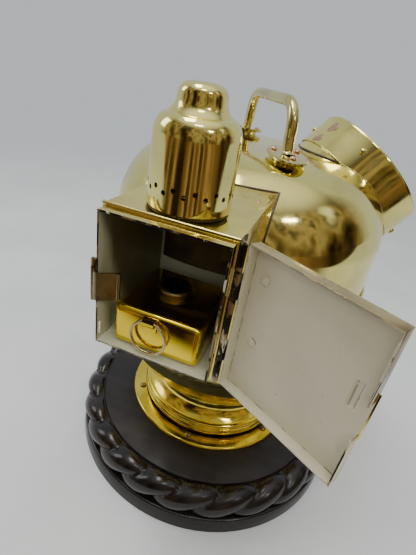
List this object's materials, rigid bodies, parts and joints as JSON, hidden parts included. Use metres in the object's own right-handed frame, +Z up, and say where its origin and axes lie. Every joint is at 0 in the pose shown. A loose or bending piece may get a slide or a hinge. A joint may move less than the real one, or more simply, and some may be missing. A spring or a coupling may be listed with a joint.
{
  "type": "boat compass binnacle",
  "caption": "Brass boat binnacle on a rope-carved wooden plinth, with a slanted viewing window, carrying handle, gimballed compass and a hinged side lamp box with chimney and oil tank.",
  "frame": {"origin": "centre of the plinth's flat underside, on the axis of the hood", "axes": "+Z up; the lamp box and its chimney are on the -Y side; +X is the side on which the lamp door is hinged"},
  "size_m": [0.3458, 0.4358, 0.4375],
  "materials": {
    "dark_wood": "near-black stained hardwood, varnished rope edge and dull flat top",
    "brass": "polished and lightly lacquered, with small dents and streaks",
    "yellow_brass": "polished yellow brass with worn edges",
    "copper": "copper rivet heads",
    "dark_brass": "tarnished and sooty",
    "cream_paint": "old cream gloss paint with chips along the edges",
    "steel": "plain turned steel",
    "lead": "dull cast weight",
    "card": "matt card with dark graduations",
    "glass": "clear plate glass"
  },
  "bodies": {
    "base": {"plinth": "dark_wood", "base_flange": "brass", "flange_screw_1": "brass", "flange_screw_2": "brass", "flange_screw_3": "brass", "flange_screw_4": "brass", "flange_screw_5": "brass", "flange_screw_6": "brass", "foot_ring": "brass", "binnacle_bowl": "brass", "bowl_rim": "brass", "gimbal_bracket_1": "brass", "gimbal_bracket_2": "brass"},
    "gimbal": {"gimbal_ring": "brass", "gimbal_pin_1": "steel", "gimbal_pin_2": "steel"},
    "compass": {"compass_bowl": "brass", "compass_pin_1": "steel", "compass_pin_2": "steel", "compass_weight": "lead", "card_pivot": "steel", "compass_glass": "glass", "compass_bezel": "brass"},
    "card": {"compass_card": "card", "card_magnet_1": "steel", "card_magnet_2": "steel"},
    "hood": {"hood_shell": "brass", "hood_bead": "brass", "window_neck": "brass", "window_collar": "brass", "window_glass": "glass", "window_glass_ring": "brass", "collar_screw_1": "brass", "collar_screw_2": "brass", "collar_screw_3": "brass", "handle": "brass", "handle_rivet_1": "copper", "handle_rivet_2": "copper", "handle_rivet_3": "copper", "handle_rivet_4": "copper", "handle_rivet_5": "copper", "handle_rivet_6": "copper", "lamp_box": "brass", "lamp_back_plate": "cream_paint", "lamp_pane": "glass", "chimney_seat": "dark_brass", "hinge_leaf_box": "brass", "hinge_pin": "steel", "hasp_bracket": "brass", "hasp_pin": "steel"},
    "chimney": {"chimney": "brass"},
    "door": {"door_pan": "cream_paint", "hinge_leaf_door": "brass", "door_keeper": "brass"},
    "hasp": {"hasp": "brass"},
    "tank": {"oil_tank": "yellow_brass", "burner_collar": "yellow_brass", "ring_bracket": "yellow_brass"},
    "ring": {"pull_ring": "brass"}
  },
  "joints": [
    {"name": "gimbal_roll", "type": "hinge", "parent": "base", "child": "gimbal", "pos_m": [0, 0, 0.25], "axis": [1, 0, 0], "range_deg": [-20, 20]},
    {"name": "compass_pitch", "type": "hinge", "parent": "gimbal", "child": "compass", "pos_m": [0, 0, 0.25], "axis": [0, 1, 0], "range_deg": [-20, 20]},
    {"name": "card_spin", "type": "hinge", "parent": "compass", "child": "card", "pos_m": [0, 0, 0.25], "axis": [0, 0, 1], "continuous": true},
    {"name": "hood_lift", "type": "slide", "parent": "base", "child": "hood", "axis": [0, 0, 1], "range_m": [0, 0.15]},
    {"name": "chimney_lift", "type": "slide", "parent": "hood", "child": "chimney", "axis": [0, 0, 1], "range_m": [0, 0.05]},
    {"name": "door_hinge", "type": "hinge", "parent": "hood", "child": "door", "pos_m": [0.044, -0.2214, 0.3205], "axis": [0, 0, 1], "range_deg": [-150.3, 24.7]},
    {"name": "hasp_hinge", "type": "hinge", "parent": "hood", "child": "hasp", "pos_m": [-0.046, -0.222, 0.3171], "axis": [0, 0, -1], "range_deg": [0, 150]},
    {"name": "tank_slide", "type": "slide", "parent": "hood", "child": "tank", "axis": [0, -1, 0], "range_m": [0, 0.09]},
    {"name": "ring_swing", "type": "hinge", "parent": "tank", "child": "ring", "pos_m": [-0.003, -0.2261, 0.302], "axis": [-1, 0, 0], "range_deg": [0, 90]}
  ]
}
